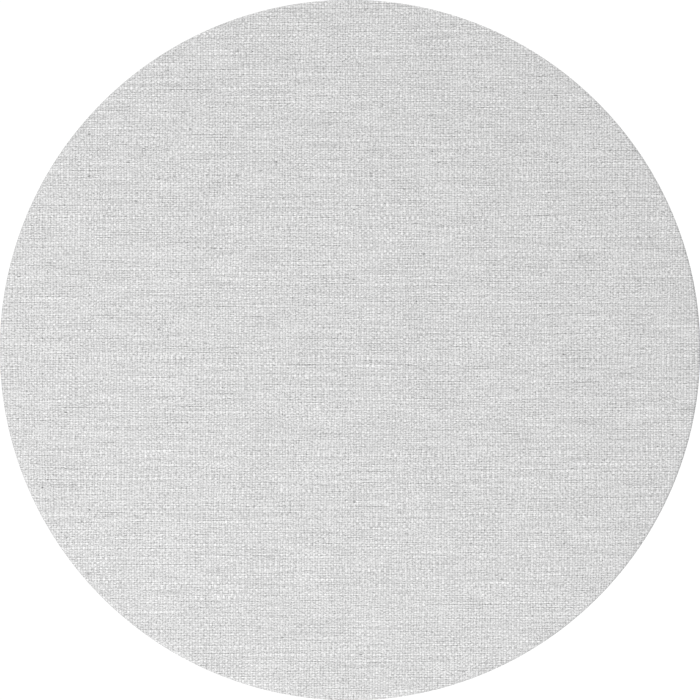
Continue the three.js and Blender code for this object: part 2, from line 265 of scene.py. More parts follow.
def face_material():
    s = Shader("face_cloth_slub_weave")
    w = plain_weave(s, s.uv(), FACE_WARP_PITCH, FACE_WEFT_PITCH, (0.9, 30, 26), (1.5, 9, 300), doubled=0.07)
    u, v, i, j = w["u"], w["v"], w["i"], w["j"]

    def centred(value, strength):
        return s.muladd(value, strength, -0.5 * strength)

    def marks(u_scale, v_scale, shift=0.0, **options):
        """Noise with its own number of marks to the metre along the cross yarns and up the cloth."""
        return s.noise(s.vec(s.mul(u, u_scale), s.muladd(v, v_scale, shift)), **options)

    warp_tone = centred(s.noise(s.vec(s.mul(i, 5.7), s.mul(v, 26)), detail=1.0), WARP_TONE)
    weft_place = s.vec(s.mul(u, 20), s.muladd(j, 4.3, 71.0))
    weft_tone = centred(s.noise(weft_place, detail=2.0, rough=0.6), WEFT_TONE)
    slub = s.ramp(s.noise(s.vec(s.mul(u, 16), s.muladd(j, 3.1, 13.0)), detail=1.0), 0.60, 0.78)
    tone = s.mix(w["warp_up"], s.muladd(slub, SLUB, s.plus(weft_tone, LIFT)), s.plus(warp_tone, -LIFT))
    # shade down between the yarns, more between some cross yarns than others
    between_warps = s.math("POWER", s.math("SUBTRACT", 1.0, w["across"]), 2.0)
    between_wefts = s.math("POWER", s.math("SUBTRACT", 1.0, w["along"]), 2.0)
    gap_row = s.math("FLOOR", s.plus(w["b"], 0.5))
    gap_place = s.vec(s.mul(u, 32), s.muladd(gap_row, 6.1, 5.0))
    open_row = s.ramp(s.noise(gap_place, detail=1.0), 0.3, 0.7, 0.55, 1.4)
    tone = s.muladd(between_warps, -WARP_GAP, tone)
    tone = s.muladd(s.mul(between_wefts, open_row), -WEFT_GAP, tone)
    # crossings, fibres and soft clouds
    cell = s.chance("2D", Vector=s.vec(i, j))
    tone = s.plus(tone, s.mul(centred(cell, CROSSING), w["height"]))
    fibre = marks(420, 1100)
    strand = s.mix(w["warp_up"], marks(260, 4300, detail=1.0), marks(4300, 260, detail=1.0))
    for value, strength in (
        (marks(22, 1000, 33.0), LONG_STREAK),
        (marks(1150, 1150, 17.0), FUZZ),
        (s.math("MODULO", i, 2.0), PAIR),
        (fibre, FIBRE_TONE),
        (marks(22, 34, detail=3.0, rough=0.6), CLOUD_TONE),
        (marks(200, 1300), STREAK),
        (s.math("MODULO", j, 2.0), PAIR),
        (strand, STRAND),
    ):
        tone = s.plus(tone, centred(value, strength))
    fleck = s.ramp(marks(150, 420), 0.86, 0.94)
    tone = s.plus(s.mul(fleck, -FLECK), s.plus(tone, 1.0 + GAP_MEAN * (WARP_GAP + WEFT_GAP)))
    albedo = s.math("MULTIPLY", tone, FACE_BASE, clamp=True)
    relief = s.plus(w["height"], s.muladd(slub, 0.5, s.muladd(strand, 0.35, s.mul(fibre, 0.2))))
    return s.done(
        Base_Color=albedo,
        Roughness=s.muladd(fibre, 0.2, 0.78),
        Normal=s.bump(relief, 0.00022),
        Sheen_Weight=0.12,
        Sheen_Roughness=0.6,
        Specular_IOR_Level=0.2,
    )


def creases(s, u, v, scale, offset):
    """Thin ridges left where cloth has been folded up, strong in some places and faint in others."""
    n = s.noise(s.vec(s.muladd(u, scale, offset), s.mul(v, scale)), detail=1.5, rough=0.45)
    ridge = s.math("SUBTRACT", 1.0, s.math("ABSOLUTE", s.muladd(n, 9.0, -4.5)), clamp=True)
    where = s.noise(s.vec(s.muladd(u, scale * 0.6, 3.0), s.muladd(v, scale * 0.6, offset)))
    return s.mul(s.ramp(ridge, 0.0, 1.0), s.ramp(where, 0.42, 0.62))


def fine_cloth(name, low, high, pitch, sheen=0.1, crease=0.0):
    """A close plain weave for the lining and the patch. crease is the height of its folding marks, in metres."""
    s = Shader(name)
    uv = s.uv()
    w = plain_weave(s, uv, pitch, pitch * 0.92, (0.5, 30, 8), (1.2, 7, 90))
    height, warp_up, i, j, u, v = (w[k] for k in ("height", "warp_up", "i", "j", "u", "v"))
    yarns = s.noise(s.vec(s.mul(i, 3.7), s.mul(v, 60)), detail=1.0)
    picks = s.noise(s.vec(s.mul(u, 45), s.muladd(j, 2.9, 40.0)), detail=1.0)
    cloud = s.noise(s.vec(s.mul(u, 9), s.mul(v, 9)), detail=4.0, rough=0.62)
    lint = s.ramp(s.noise(s.vec(s.mul(u, 420), s.mul(v, 420)), detail=2.0), 0.70, 0.80)
    tone = s.mix(warp_up, picks, yarns)
    # painted shade: the weave's height is painted into its tone, darker in the low spots between the yarns and
    # paler on the raised yarns
    tone = s.muladd(tone, 0.55, s.muladd(cloud, 0.45, s.muladd(height, 0.22, -0.12)))
    normal = s.bump(height, 0.00009)
    if crease:
        marks = s.plus(creases(s, u, v, 9.0, 0.0), s.mul(creases(s, u, v, 17.0, 7.0), 0.6))
        sag = s.noise(s.vec(s.mul(u, 5.0), s.mul(v, 5.0)), detail=1.0)
        normal = s.bump(s.muladd(sag, 4.0, marks), crease, over=normal)
        # painted highlight: the crease ridges are painted paler, as well as raised in the bump
        tone = s.muladd(marks, 0.10, tone)
    shade = s.colour(s.plus(tone, s.mul(lint, 0.35)), low, high)
    return s.done(
        Base_Color=shade,
        Roughness=s.muladd(cloud, 0.25, 0.62),
        Normal=normal,
        Sheen_Weight=sheen,
        Sheen_Roughness=0.45,
        Specular_IOR_Level=0.3,
    )


def thread_material(name, low, high):
    """Twisted thread: u runs along it in metres and v once round it."""
    s = Shader(name)
    u, v, _ = s.split(s.uv())
    ply = s.math("SINE", s.muladd(u, 2 * math.pi / (0.8 * MM), s.mul(v, 4 * math.pi)))
    fuzz = s.noise(s.vec(s.mul(u, 3000), s.mul(v, 9)), detail=2.0)
    # painted shade: the ply twist is painted into the colour, darker in the grooves between the plies
    shade = s.colour(s.muladd(ply, 0.3, fuzz), low, high)
    return s.done(
        Base_Color=shade,
        Roughness=s.muladd(fuzz, 0.3, 0.5),
        Normal=s.bump(s.muladd(ply, 0.5, fuzz), 0.00005),
        Sheen_Weight=0.2,
        Specular_IOR_Level=0.35,
    )


def webbing_material(name, low, high, pitch, gloss):
    """Narrow woven tape: u across it and v along it, in metres."""
    s = Shader(name)
    u, v, _ = s.split(s.uv())
    chevron = s.math("PINGPONG", s.mul(u, 1 / pitch), 1.0)
    rib = s.math("SINE", s.muladd(v, 2 * math.pi / pitch, s.mul(chevron, math.pi)))
    strand = s.noise(s.vec(s.mul(u, 4200), s.mul(v, 700)), detail=2.0, rough=0.6)
    wear = s.noise(s.vec(s.mul(u, 120), s.mul(v, 90)), detail=4.0, rough=0.65)
    # painted shade: the ribs are painted into the colour, darker in the grooves between them
    shade = s.colour(s.muladd(rib, 0.22, s.muladd(strand, 0.6, s.muladd(wear, 0.7, -0.35))), low, high)
    return s.done(
        Base_Color=shade,
        Roughness=s.muladd(wear, 0.3, gloss),
        Normal=s.bump(s.muladd(rib, 0.5, strand), 0.00010),
        Sheen_Weight=0.15,
        Specular_IOR_Level=0.4,
    )


def metal_material(name, low, high, rough, scratch, tint_scale):
    """Bare or plated steel, with fine scratches and a patchy finish."""
    s = Shader(name)
    p = s.rest()
    x, y, z = s.split(p)
    patchy = s.noise(p, scale=tint_scale, detail=5.0, rough=0.6, dims="3D")
    lines = s.noise(s.vec(s.mul(x, 900), s.mul(y, 6000), s.mul(z, 900)), detail=3.0, rough=0.7, dims="3D")
    nicks = s.ramp(s.noise(p, scale=1900.0, detail=1.0, dims="3D"), 0.66, 0.74)
    shade = s.colour(s.muladd(lines, 0.5, s.muladd(patchy, 0.8, -0.2)), low, high)
    return s.done(
        Base_Color=shade,
        Metallic=1.0,
        Roughness=s.muladd(lines, scratch, s.muladd(patchy, 0.18, s.muladd(nicks, 0.15, rough - 0.1))),
        Normal=s.bump(s.muladd(nicks, -0.6, lines), 0.00002),
    )


MATERIALS = {
    "face_cloth": face_material(),
    "lining": fine_cloth("lining_cloth", (0.085, 0.085, 0.087), (0.20, 0.20, 0.203), 0.62 * MM, crease=2 * MM),
    "patch_cloth": fine_cloth("patch_cloth", (0.05, 0.05, 0.052), (0.135, 0.135, 0.138), 0.55 * MM),
    "pale_thread": thread_material("pale_thread", (0.42, 0.42, 0.415), (0.66, 0.66, 0.65)),
    "dark_thread": thread_material("dark_thread", (0.03, 0.03, 0.032), (0.12, 0.12, 0.125)),
    "webbing": webbing_material("tab_webbing", (0.008, 0.008, 0.009), (0.055, 0.055, 0.058), 1.6 * MM, 0.42),
    "elastic": webbing_material("keeper_elastic", (0.007, 0.007, 0.008), (0.05, 0.05, 0.052), 0.9 * MM, 0.58),
    "band_steel": metal_material("band_spring_steel", (0.10, 0.12, 0.16), (0.30, 0.32, 0.36), 0.34, 0.25, 60.0),
    "ferrule_steel": metal_material("ferrule_zinc", (0.42, 0.43, 0.45), (0.66, 0.67, 0.68), 0.38, 0.2, 220.0),
    "ring_steel": metal_material("ring_nickel", (0.52, 0.51, 0.49), (0.78, 0.77, 0.75), 0.2, 0.16, 300.0),
}


# ---------------------------------------------------------------- mesh helpers
def keep_rest(mesh):
    """Stores where each point is at rest, so that a material stays put as its piece moves."""
    rest = mesh.attributes.new("rest", "FLOAT_VECTOR", "POINT")
    co = np.zeros(len(mesh.vertices) * 3, np.float32)
    mesh.vertices.foreach_get("co", co)
    rest.data.foreach_set("vector", co)


def finish_object(name, mesh, slot_name, smooth_faces=True):
    """A mesh as a piece with its material, and its rest position kept for shading."""
    if smooth_faces:
        mesh.polygons.foreach_set("use_smooth", np.ones(len(mesh.polygons), bool))
    keep_rest(mesh)
    mesh.materials.append(MATERIALS[slot_name])
    obj = bpy.data.objects.new(name, mesh)
    bpy.context.scene.collection.objects.link(obj)
    return obj


def grid_mesh(name, points, uvs, close_i=False, close_j=False, cap=False):
    """A mesh from an array of points (rows, columns, 3) and their uvs (rows, columns, 2)."""
    rows, cols = points.shape[:2]
    faces, face_uv = [], []
    for i in range(rows - (0 if close_i else 1)):
        n = (i + 1) % rows
        for j in range(cols - (0 if close_j else 1)):
            m = (j + 1) % cols
            faces.append((i * cols + j, i * cols + m, n * cols + m, n * cols + j))
            a, b, c, d = uvs[i, j], uvs[i, m], uvs[n, m], uvs[n, j]
            face_uv += [a, b, c, d]
    if cap:
        faces.append(tuple(reversed(range(cols))))
        face_uv += [uvs[0, j] for j in reversed(range(cols))]
        faces.append(tuple((rows - 1) * cols + j for j in range(cols)))
        face_uv += [uvs[rows - 1, j] for j in range(cols)]
    mesh = bpy.data.meshes.new(name)
    mesh.from_pydata(points.reshape(-1, 3).tolist(), [], faces)
    layer = mesh.uv_layers.new(name="cloth")
    layer.data.foreach_set("uv", np.array(face_uv, np.float32).ravel())
    return mesh


def outward(mesh):
    """Turns the faces outwards."""
    bm = bmesh.new()
    bm.from_mesh(mesh)
    bmesh.ops.recalc_face_normals(bm, faces=bm.faces)
    bm.to_mesh(mesh)
    bm.free()
    return mesh


# ---------------------------------------------------------------- the turned cloths
COARSE, FINE = 360, 1080  # points round a ring, inside and near the rim
FOLD_STEP = 0.3 * MM  # cloth from one ring to the next round the hem's folded edge
rng = np.random.default_rng(SEED)
WAVES = ((53, 0.5), (89, 0.7), (127, 0.8), (163, 0.5), (211, 0.35))  # how many go round, and how high each is
RIPPLES = [(n, a, rng.uniform(0, 2 * math.pi)) for n, a in WAVES]


def ripple(phi):
    """Unevenness round the hem, from -1 to 1, where the turned cloth is eased in."""
    total = sum(a * np.sin(n * phi + p) for n, a, p in RIPPLES)
    return total / sum(a for _, a, _ in RIPPLES)


def still_at_cuts(x):
    """0 on the lines where zones meet, so that their shading matches, and 1 away from them."""
    lines = (0.0, CUT_X, -CUT_X)
    return np.prod([smooth(np.abs(x - line) / (5 * MM)) for line in lines], axis=0)


def hem_rise(r, phi):
    """How far the hem's outside stands off its nominal face, in metres."""
    x = r * np.sin(phi)
    share = smooth((R_OUT - RIM_R - r) / (12 * MM))
    waves = 0.40 * MM * share * (1.0 + ripple(phi)) * still_at_cuts(x)
    row = np.exp(-(((r - THREAD_R) / (1.3 * MM)) ** 2))
    return waves * (1 - 0.75 * row) - 0.16 * MM * row


def ring_points(r, y, phi):
    """Points round the panel's middle at angles phi, from its top."""
    return np.stack([r * np.sin(phi), np.broadcast_to(y, phi.shape), CENTRE_Z + r * np.cos(phi)], axis=1)


def turned_cloth(rings):
    """A closed turned surface as a bmesh. rings: (radius, y or function of phi, arc length, points round)."""
    bm = bmesh.new()
    length = bm.verts.layers.float.new("length")
    previous = None
    for r, y, s, count in rings:
        if r == 0:
            vert = bm.verts.new((0, y, CENTRE_Z))
            vert[length] = 0.0
            current = [vert]
        else:
            phi = np.arange(count) * 2 * math.pi / count
            depth = y(phi) if callable(y) else np.full(count, y)
            current = []
            for p in ring_points(r, depth, phi):
                vert = bm.verts.new(p)
                vert[length] = s
                current.append(vert)
        if previous is not None:
            a, b = len(previous), len(current)
            if a == 1 or b == 1:
                many, one = (current, previous[0]) if a == 1 else (previous, current[0])
                for k in range(len(many)):
                    tri = (one, many[k], many[(k + 1) % len(many)])
                    bm.faces.new(tri if a == 1 else tri[::-1])
            elif a == b:
                for k in range(a):
                    m = (k + 1) % a
                    bm.faces.new((previous[k], current[k], current[m], previous[m]))
            elif b > a:
                step = b // a
                for k in range(a):
                    fine = [current[(k * step + q) % b] for q in range(step + 1)]
                    bm.faces.new((previous[k], *fine, previous[(k + 1) % a]))
            else:
                step = a // b
                for k in range(b):
                    fine = [previous[(k * step + q) % a] for q in range(step + 1)]
                    bm.faces.new((*fine, current[(k + 1) % b], current[k]))
        previous = current
    bmesh.ops.recalc_face_normals(bm, faces=bm.faces)
    return bm


def zone_of(bm, low, high):
    """The part of a turned cloth between two upright planes, closed where it is cut."""
    part = bm.copy()
    for x, outer in ((low, False), (high, True)):
        if abs(x) > R_OUT:
            continue
        geom = part.verts[:] + part.edges[:] + part.faces[:]
        cut = bmesh.ops.bisect_plane(
            part,
            geom=geom,
            dist=1e-7,
            plane_co=(x, 0, 0),
            plane_no=(1, 0, 0),
            clear_outer=outer,
            clear_inner=not outer,
        )
        edges = [e for e in cut["geom_cut"] if isinstance(e, bmesh.types.BMEdge) and e.is_valid]
        filled = bmesh.ops.holes_fill(part, edges=edges, sides=0)
        for f in filled["faces"]:
            f.smooth = False
            for e in f.edges:
                e.smooth = False
    return part


def cloth_mesh(name, part):
    """A bmesh zone as a mesh, its cloth map measured along the cloth from the panel's centre."""
    shift = 1.0  # keeps the map above zero
    length = part.verts.layers.float["length"]
    layer = part.loops.layers.uv.new("cloth")
    for f in part.faces:
        for loop in f.loops:
            v = loop.vert
            x, z = v.co.x, v.co.z - CENTRE_Z
            r = math.hypot(x, z)
            k = v[length] / r if r > 1e-6 else 0.0
            loop[layer].uv = (shift + x * k, shift + z * k)
    mesh = bpy.data.meshes.new(name)
    part.normal_update()
    # the faces that close a cut are the only ones with many corners
    rounded = np.array([len(f.verts) <= 12 for f in part.faces])
    part.to_mesh(mesh)
    part.free()
    mesh.polygons.foreach_set("use_smooth", rounded)
    return mesh


def arc_rings(cr, cy, r, start, end, s0, steps, count):
    """Rings along an arc about (cr, cy), angles in degrees, s0 the cloth's length where it starts."""
    out = []
    for k in range(1, steps + 1):
        a = math.radians(start + (end - start) * k / steps)
        s = s0 + abs(math.radians(end - start)) * r * k / steps
        out.append((cr + r * math.cos(a), cy + r * math.sin(a), s, count))
    return out


def face_rings():
    """The face cloth from the middle of its front, round the rim, round the hem's edge and back inside."""
    edge, shoulder = R_OUT - RIM_R, HEM_Y - RIM_R
    front_shoulder = FRONT_Y + RIM_R
    rings = [(0, FRONT_Y, 0, 1)]
    coarse_edge = 0.270
    for r in np.arange(6 * MM, coarse_edge + 1e-6, 6 * MM):
        rings.append((r, FRONT_Y, r, COARSE))
    for k in range(1, 6):
        r = coarse_edge + (edge - coarse_edge) * k / 5
        rings.append((r, FRONT_Y, r, FINE))
    rings += arc_rings(edge, front_shoulder, RIM_R, -90, 0, edge, 7, FINE)
    s = rings[-1][2] + (shoulder - front_shoulder)
    rings.append((R_OUT, shoulder, s, FINE))
    rings += arc_rings(edge, shoulder, RIM_R, 0, 90, s, 7, FINE)
    s = rings[-1][2]
    inner_edge = HEM_IN + FACE_T / 2
    steps = 18
    for k in range(1, steps + 1):
        r = edge + (inner_edge - edge) * k / steps
        rings.append((r, lambda phi, r=r: HEM_Y + hem_rise(r, phi), s + edge - r, FINE))
    s = rings[-1][2]
    # the hem's folded edge, then back outwards underneath
    for k in range(1, 5):
        a = math.pi * k / 5
        r = inner_edge - FACE_T / 2 * math.sin(a)
        drop = FACE_T / 2 * (1 - math.cos(a))
        y = lambda phi, d=drop: HEM_Y - d + hem_rise(HEM_IN, phi) * (1 - d / FACE_T)
        rings.append((r, y, s + FOLD_STEP * k, FINE))
    s = rings[-1][2] + FOLD_STEP
    under = HEM_Y - FACE_T
    for k in range(0, 5):
        r = inner_edge + (edge - inner_edge) * k / 4
        rings.append((r, under, s + r - inner_edge, FINE))
    s = rings[-1][2]
    inner_r = RIM_R - FACE_T
    rings += arc_rings(edge, shoulder, inner_r, 90, 0, s, 4, FINE)
    rings.append((R_OUT - FACE_T, front_shoulder, s, FINE))
    rings += arc_rings(edge, front_shoulder, inner_r, 0, -90, s, 4, FINE)
    inside = FRONT_Y + FACE_T
    rings.append((0.285, inside, 0.285, FINE))
    for r in np.arange(coarse_edge, 5 * MM, -10 * MM):
        rings.append((r, inside, r, COARSE))
    rings.append((0, inside, 0, 1))
    return rings


def slack(r, phi):
    """The lining's soft unevenness, in metres outwards."""
    x, z = r * np.sin(phi), r * np.cos(phi)
    soft = 0.5 + 0.5 * np.sin(21 * x + 5 * np.sin(9 * z)) * np.sin(17 * z + 3 * np.sin(13 * x) + 1.0)
    fan = 0.5 + 0.32 * np.sin(43 * phi + 2 * np.sin(3 * phi)) + 0.18 * np.sin(71 * phi + 3 * np.sin(5 * phi))
    near_rim = smooth((r - 0.19) / 0.08) * (1 - 0.72 * smooth((r - 0.264) / 0.012))
    level = 0.35 * MM * soft * (1 - near_rim) + 0.75 * MM * fan * near_rim
    middle = smooth((np.abs(x) - 26 * MM) / (12 * MM))
    clear = np.where(z > -0.02, middle, 1.0)
    return level * still_at_cuts(x) * clear * smooth(r / 0.02)


def lining_rings():
    """The lining from the middle of its outside face to the middle of its inside face."""
    rings = [(0, LINING_OUT_Y, 0, 1)]
    for r in np.arange(5 * MM, R_LINING - 2 * MM, 5 * MM):
        rings.append((r, lambda phi, r=r: LINING_OUT_Y + slack(r, phi) * (r < 0.28), r, COARSE))
    rings.append((R_LINING, LINING_OUT_Y, R_LINING, COARSE))
    rings.append((R_LINING, LINING_IN_Y, R_LINING + LINING_OUT_Y - LINING_IN_Y, COARSE))
    for r in np.arange(R_LINING - 8 * MM, 5 * MM, -8 * MM):
        rings.append((r, LINING_IN_Y, r, COARSE))
    rings.append((0, LINING_IN_Y, 0, 1))
    return rings


def flat_area(low, high, radius):
    """Area of a flat disc between two upright lines."""

    def up_to(x):
        x = max(-radius, min(radius, x))
        return x * math.sqrt(radius * radius - x * x) + radius * radius * math.asin(x / radius)

    return up_to(high) - up_to(low)


def clothed(kind, rings, slot_name, cad, flat_radius):
    """One turned cloth as four pieces, one to each zone."""
    whole = turned_cloth(rings)
    for zone in ZONES:
        name, low, high = zone[:3]
        mesh = cloth_mesh(f"{kind}_{name}", zone_of(whole, low, high))
        obj = finish_object(f"{kind}_{name}", mesh, slot_name, smooth_faces=False)
        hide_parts(*[f"{cad}_{part}" for part in STANDS_FOR[name]])
        bend(obj, zone)
        low, high = max(low, -flat_radius), min(high, flat_radius)
        flat_area(low, high, flat_radius)
    whole.free()


# ---------------------------------------------------------------- the hoop
def hoop_pieces():
    """The steel band in four pieces, split where the zones meet and open at the ferrule."""
    low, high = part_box("band_top_centre")
    outer = high.z - CENTRE_Z
    inner = outer - BAND_T
    half = (high.y - low.y) / 2
    mid = (high.y + low.y) / 2
    end_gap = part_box("band_end_right")[0].x
    corner_r, corner_y = 0.15 * MM, 0.3 * MM  # what is off each of the band's corners
    section = [(outer, -half + corner_y), (outer, half - corner_y), (outer - corner_r, half)]
    section += [(inner + corner_r, half), (inner, half - corner_y), (inner, -half + corner_y)]
    section += [(inner + corner_r, -half), (outer - corner_r, -half)]

    def arc_piece(a0, a1):
        count = max(12, int(abs(a1 - a0) * outer / (3 * MM)))
        pts, uvs = [], []
        for a in np.linspace(a0, a1, count):
            pts.append([(r * math.sin(a), mid + y, CENTRE_Z + r * math.cos(a)) for r, y in section])
            uvs.append([(a * outer + 2.0, k / len(section)) for k in range(len(section))])
        return grid_mesh("arc", np.array(pts), np.array(uvs), close_j=True, cap=True)

    cut = math.asin(CUT_X / outer)
    gap = math.asin(end_gap / outer)
    for zone in ZONES:
        name, side = zone[0], (-1 if "left" in zone[0] else 1)
        if name.startswith("far"):
            spans = [(side * cut, side * (math.pi - cut))]
            cad = [f"band_{name.replace('far_', '')}_outer"]
        else:
            spans = [(0.0, side * cut), (side * (math.pi - cut), side * (math.pi - gap))]
            word = name.replace("near_", "")
            cad = [f"band_top_{word}_inner", f"band_bottom_{word}_inner"]
            cad += ["band_top_centre", f"band_end_{word}"]
        bm = bmesh.new()
        for span in spans:
            bm.from_mesh(arc_piece(*span))
        bmesh.ops.recalc_face_normals(bm, faces=bm.faces)
        mesh = bpy.data.meshes.new(f"hoop_{name}")
        bm.to_mesh(mesh)
        bm.free()
        obj = finish_object(f"hoop_{name}", mesh, "band_steel", smooth_faces=False)
        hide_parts(*cad)
        bend(obj, zone)


# ---------------------------------------------------------------- stitches
def stitch_mesh(name, stitches, radius=0.26 * MM, dip=0.42 * MM, rise=0.12 * MM):
    """One mesh of separate stitches. stitches: (start, end, outward normal), each a Vector."""
    along, around = 7, 8
    verts, faces, uvs = [], [], []
    for start, end, normal in stitches:
        base = len(verts)
        run = end - start
        length = run.length
        t = run.normalized()
        n = (normal - t * normal.dot(t)).normalized()
        side = t.cross(n)
        for i in range(along):
            q = i / (along - 1)
            lift = rise - (dip + rise) * abs(2 * q - 1) ** 3.2
            centre = start + run * q + n * lift
            swell = radius * (0.72 + 0.28 * math.sin(math.pi * q))
            for k in range(around):
                a = 2 * math.pi * k / around
                verts.append(centre + (n * math.cos(a) * 0.8 + side * math.sin(a)) * swell)
        for i in range(along - 1):
            this, after = base + i * around, base + (i + 1) * around
            for k in range(around):
                m = (k + 1) % around
                faces.append((this + k, this + m, after + m, after + k))
                for ii, kk in ((i, k), (i, k + 1), (i + 1, k + 1), (i + 1, k)):
                    uvs.append((length * ii / (along - 1), kk / around))
        faces.append(tuple(base + k for k in reversed(range(around))))
        uvs += [(0.0, k / around) for k in reversed(range(around))]
        faces.append(tuple(base + (along - 1) * around + k for k in range(around)))
        uvs += [(length, k / around) for k in range(around)]
    mesh = bpy.data.meshes.new(name)
    mesh.from_pydata([tuple(v) for v in verts], [], faces)
    layer = mesh.uv_layers.new(name="cloth")
    layer.data.foreach_set("uv", np.array(uvs, np.float32).ravel())
    return outward(mesh)


def stitch_line(points, pitch, fill=0.8):
    """Start and end points of the stitches along a run of points (position, normal)."""
    lengths = [0.0]
    for (a, _), (b, _) in zip(points, points[1:]):
        lengths.append(lengths[-1] + (b - a).length)
    count = max(1, round(lengths[-1] / pitch))
    step = lengths[-1] / count

    def at(s):
        for k in range(len(points) - 1):
            if s <= lengths[k + 1] or k == len(points) - 2:
                q = (s - lengths[k]) / max(lengths[k + 1] - lengths[k], 1e-9)
                return points[k][0].lerp(points[k + 1][0], q), points[k][1].lerp(points[k + 1][1], q)

    made = []
    for i in range(count):
        a, na = at((i + (1 - fill) / 2) * step)
        b, nb = at((i + (1 + fill) / 2) * step)
        made.append((a, b, (na + nb).normalized()))
    return made


def hem_stitches():
    """The hem's row of separate stitches, each a little out of line, in four pieces."""
    pitch = 3.4 * MM
    count = round(2 * math.pi * THREAD_R / pitch)
    out = Vector((0, 1, 0))
    by_zone = {z[0]: [] for z in ZONES}
    jitter = np.random.default_rng(SEED + 1).uniform(-0.12, 0.12, (count, 2)) * MM
    for k in range(count):
        ends = []
        for q, wob in ((0.1, jitter[k, 0]), (0.9, jitter[k, 1])):
            a = 2 * math.pi * (k + q) / count
            r = THREAD_R + wob
            y = HEM_Y + float(hem_rise(np.array([THREAD_R]), np.array([a]))[0]) + 0.12 * MM
            ends.append(Vector((r * math.sin(a), y, CENTRE_Z + r * math.cos(a))))
        x = (ends[0].x + ends[1].x) / 2
        zone = next(z for z in ZONES if z[1] <= x <= z[2])
        by_zone[zone[0]].append((ends[0], ends[1], out))
    for zone in ZONES:
        name = zone[0]
        obj = finish_object(f"hem_stitches_{name}", stitch_mesh(name, by_zone[name]), "pale_thread")
        word = name.split("_")[1]
        if name.startswith("far"):
            cad = [f"hem_thread_{word}_outer"]
        else:
            cad = [f"hem_thread_{end}_{part}" for end in ("top", "bottom") for part in (word + "_inner", "centre")]
        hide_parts(*cad)
        bend(obj, zone)


# ---------------------------------------------------------------- patch
PATCH_CORNER = 5 * MM
PATCH_ROW = 3.3 * MM  # from the patch's edge to its row of stitches


def rounded_outline(x0, x1, z0, z1, r, per_corner=14, per_side=26):
    """Points round a rectangle with rounded corners, evenly many on each side."""
    r = max(r, 0.05 * MM)
    pts = []
    corners = [(x1 - r, z0 + r, -90), (x1 - r, z1 - r, 0), (x0 + r, z1 - r, 90), (x0 + r, z0 + r, 180)]

    def on_arc(cx, cz, degrees):
        a = math.radians(degrees)
        return cx + r * math.cos(a), cz + r * math.sin(a)

    for c, (cx, cz, start) in enumerate(corners):
        pts += [on_arc(cx, cz, start + 90 * k / per_corner) for k in range(per_corner + 1)]
        (ax, az), (bx, bz) = pts[-1], on_arc(*corners[(c + 1) % 4])
        pts += [(ax + (bx - ax) * k / per_side, az + (bz - az) * k / per_side) for k in range(1, per_side)]
    return pts


def patch_height(inset):
    """Height over the lining at a distance in from the patch's edge."""
    edge = 0.62 * MM * math.sqrt(max(0.0, 1 - (1 - min(inset / (0.5 * MM), 1)) ** 2))
    fold = 0.16 * MM * math.exp(-(((inset - 1.4 * MM) / (0.9 * MM)) ** 2))
    row = 0.22 * MM * math.exp(-(((inset - PATCH_ROW) / (0.6 * MM)) ** 2))
    return edge + fold - row


def patch_piece():
    """The patch with its edge turned under, and its row of stitches."""
    lo, hi = _patch
    base = LINING_OUT_Y + 0.05 * MM
    insets = [0, 0.04, 0.12, 0.25, 0.5, 0.9, 1.4, 2.0, 2.5, 2.9, 3.3, 3.7, 4.2, 5.0]
    insets += [6.5, 8.5, 11, 14, 17, 20, 22.5]
    points, uvs = [], []
    for d in [v * MM for v in insets]:
        outline = rounded_outline(lo.x + d, hi.x - d, lo.z + d, hi.z - d, PATCH_CORNER - d)
        ring = []
        for k, (x, z) in enumerate(outline):
            wave = 0.05 * MM * math.sin(k * 0.9) * math.exp(-(((d - PATCH_ROW) / (2 * MM)) ** 2))
            ring.append((x, base + patch_height(d) + wave, z))
        points.append(ring)
        uvs.append([(1 + x, 1 + z) for x, z in outline])
    mesh = grid_mesh("patch_sewn", np.array(points), np.array(uvs), close_j=True, cap=True)
    obj = finish_object("patch_sewn", outward(mesh), "patch_cloth")
    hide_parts("patch")
    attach(obj, "spine")
    d = PATCH_ROW
    outline = rounded_outline(lo.x + d, hi.x - d, lo.z + d, hi.z - d, 3 * MM)
    y = base + patch_height(d) + 0.1 * MM
    out = Vector((0, 1, 0))
    run = [(Vector((x, y, z)), out) for x, z in outline + outline[:1]]
    sewn = stitch_mesh("patch_stitches", stitch_line(run, 3.0 * MM), 0.22 * MM)
    sewn = finish_object("patch_stitches", sewn, "pale_thread")
    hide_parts("patch_thread")
    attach(sewn, "spine")


# ---------------------------------------------------------------- straps and ring
def sideways(tangent):
    """Unit vectors at right angles to a flat curve's tangents."""
    tangent = tangent / np.linalg.norm(tangent, axis=1)[:, None]
    return np.stack([tangent[:, 1], -tangent[:, 0]], axis=1)


